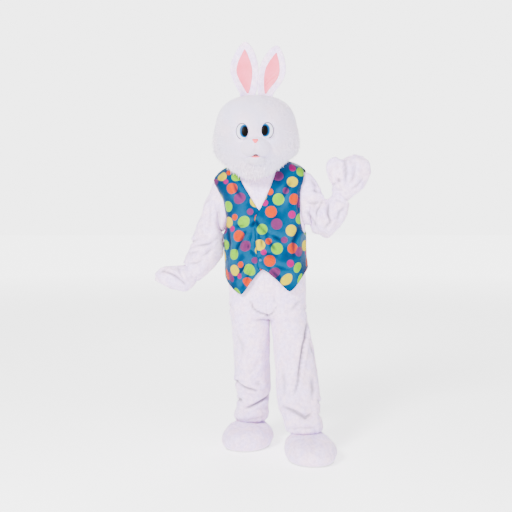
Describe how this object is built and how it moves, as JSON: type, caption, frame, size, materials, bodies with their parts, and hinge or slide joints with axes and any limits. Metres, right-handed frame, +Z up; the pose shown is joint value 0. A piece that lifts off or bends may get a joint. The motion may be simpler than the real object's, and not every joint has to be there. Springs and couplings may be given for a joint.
{
  "type": "rabbit mascot costume",
  "caption": "Full-body rabbit mascot costume, posed as if worn: furry head with upright ears, plush coverall, dotted satin vest, mitts and shoe covers.",
  "frame": {"origin": "between the shoulders of the coverall, where the costume is held up by its wearer or a stand, 1.5 m above the soles", "axes": "+Z up along the costume's height, the front faces -Y, the wearer's left side is at +X"},
  "size_m": [1.1583, 0.6692, 2.199],
  "materials": {
    "white_plush": "short plush, soft and matte",
    "white_long_fur": "long-pile fur over a foam shell",
    "pink_satin": "satin with a soft sheen",
    "blue_satin": "blue satin with printed dots",
    "pink_felt": "felt",
    "eye_plastic": "glossy moulded plastic",
    "sole_vinyl": "pale vinyl, matt",
    "blue_button": "glossy plastic"
  },
  "bodies": {
    "root": {"coverall_back_left": "white_plush", "coverall_back_right": "white_plush", "coverall_front_left": "white_plush", "coverall_front_right": "white_plush", "ear_left": "white_plush", "ear_lining_left": "pink_satin", "ear_lining_right": "pink_satin", "ear_right": "white_plush", "eye_left": "eye_plastic", "eye_right": "eye_plastic", "head_back": "white_long_fur", "head_front": "white_long_fur", "jaw": "white_plush", "mitt_back_left": "white_plush", "mitt_back_right": "white_plush", "mitt_palm_left": "white_plush", "mitt_palm_right": "white_plush", "mouth": "pink_felt", "muzzle": "white_plush", "nose": "pink_felt", "shoe_sole_left": "sole_vinyl", "shoe_sole_right": "sole_vinyl", "shoe_upper_left": "white_plush", "shoe_upper_right": "white_plush", "sleeve_left": "white_plush", "sleeve_right": "white_plush", "vest_back": "blue_satin", "vest_button": "blue_button", "vest_front_left": "blue_satin", "vest_front_right": "blue_satin"}
  },
  "joints": []
}
